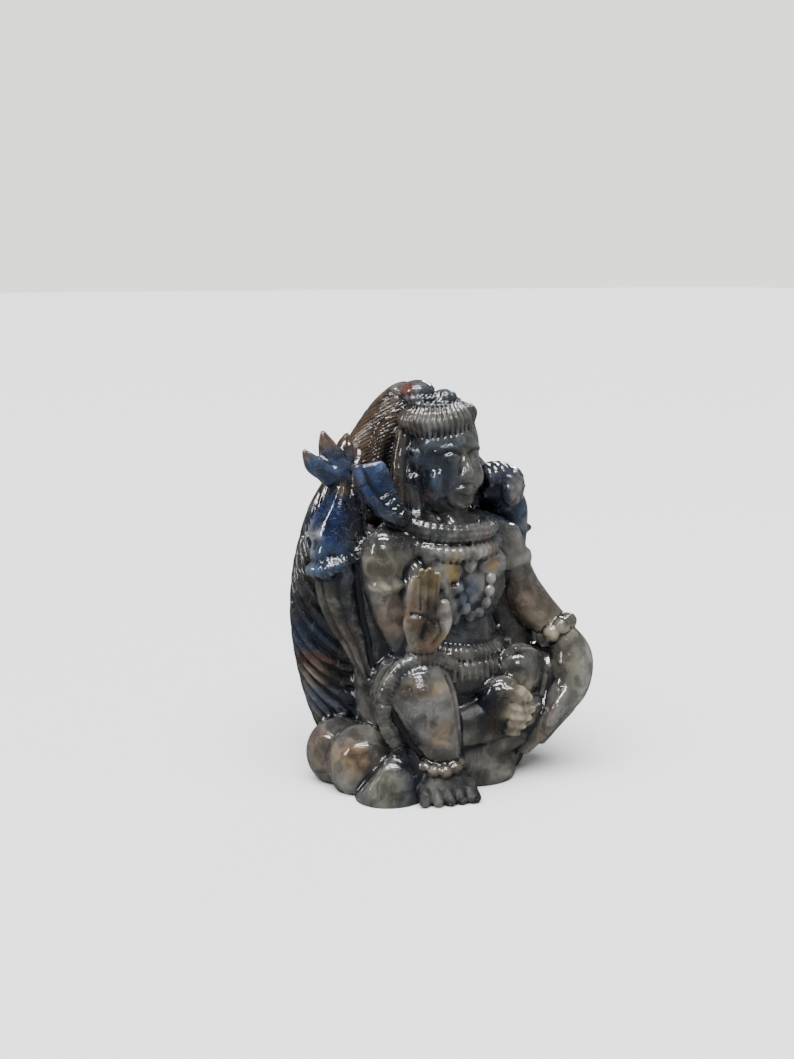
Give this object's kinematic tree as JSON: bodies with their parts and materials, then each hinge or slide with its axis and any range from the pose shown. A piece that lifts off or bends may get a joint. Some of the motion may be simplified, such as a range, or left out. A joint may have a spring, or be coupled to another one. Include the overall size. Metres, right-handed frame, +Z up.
{
  "type": "seated deity figurine",
  "caption": "Polished stone carving of a seated, many-armed Shiva with raised palm, cobra, trident and drum, on a flat-bottomed rock.",
  "frame": {"origin": "on the flat underside, below the middle of the body", "axes": "+Z up, -Y out of the figure's front, +X to the figure's own left"},
  "size_m": [0.0537, 0.0411, 0.075],
  "materials": {
    "polished_stone": "highly polished dark grey gemstone with slate blue, brown, rust and olive mottling"
  },
  "bodies": {
    "root": {"shiva_figure": "polished_stone"}
  },
  "joints": []
}
